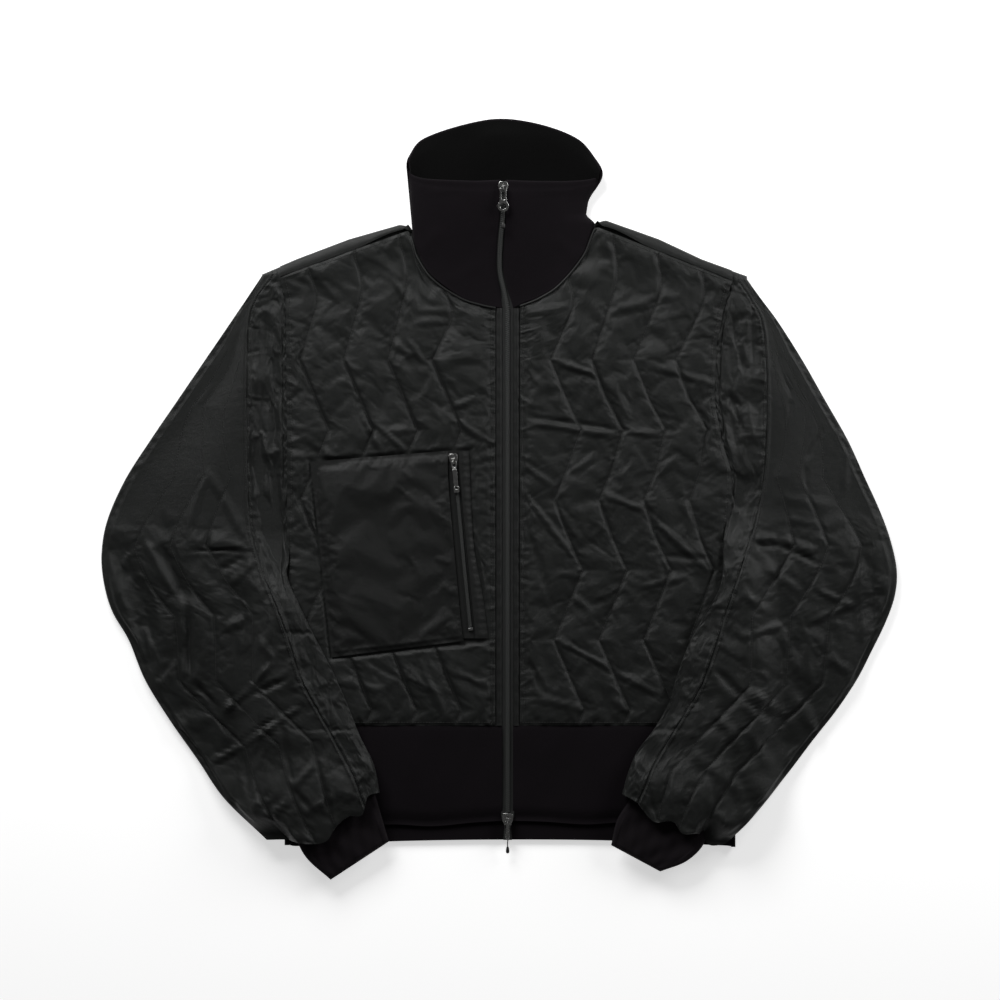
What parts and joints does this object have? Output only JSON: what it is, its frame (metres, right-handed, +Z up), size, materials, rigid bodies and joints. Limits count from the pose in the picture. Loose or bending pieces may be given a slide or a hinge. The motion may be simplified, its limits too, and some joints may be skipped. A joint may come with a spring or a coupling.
{
  "type": "quilted jacket",
  "caption": "Quilted blouson with a ribbed stand collar, hem and cuffs, a two-way front zip and a zipped patch pocket, laid flat.",
  "frame": {"origin": "on the surface the jacket lies on, under the middle of its bounding box", "axes": "+X to the wearer's left, +Y from the hem to the collar, +Z up from the surface"},
  "size_m": [0.8759, 0.8345, 0.0345],
  "materials": {
    "shell": "satin nylon over light wadding",
    "rib": "matt rib knit",
    "tape": "woven zip tape with a moulded coil",
    "metal": "dark plated metal"
  },
  "bodies": {
    "jacket": {"back_panel": "shell", "front_right": "shell", "front_left": "shell", "sleeve_right_top": "shell", "sleeve_right_front": "shell", "sleeve_right_under": "shell", "sleeve_left_top": "shell", "sleeve_left_front": "shell", "sleeve_left_under": "shell", "cuff_right": "rib", "cuff_left": "rib", "collar_rib": "rib", "hem_rib": "rib", "strip_right": "shell", "strip_left": "shell", "zip_tape_right": "tape", "zip_tape_left": "tape", "zip_chain": "tape", "top_slider": "metal", "bottom_slider": "metal", "pocket_patch": "shell", "pocket_strip": "shell", "pocket_tape": "tape", "pocket_chain": "tape", "pocket_stop": "metal", "pocket_slider": "metal"},
    "top_tab": {"top_pull": "metal"},
    "bottom_tab": {"bottom_pull": "metal"},
    "pocket_tab": {"pocket_pull": "metal"}
  },
  "joints": [
    {"name": "top_tab_lift", "type": "hinge", "parent": "jacket", "child": "top_tab", "pos_m": [0.00345, 0.3428, 0.02911], "axis": [-1, 0, 0], "range_deg": [0, 165]},
    {"name": "bottom_tab_lift", "type": "hinge", "parent": "jacket", "child": "bottom_tab", "pos_m": [0.0084, -0.3508, 0.0141], "axis": [-1, 0, 0], "range_deg": [0, 165]},
    {"name": "pocket_tab_lift", "type": "hinge", "parent": "jacket", "child": "pocket_tab", "pos_m": [-0.0512, 0.045, 0.0158], "axis": [-0.995, -0.0995, 0], "range_deg": [0, 165]}
  ]
}
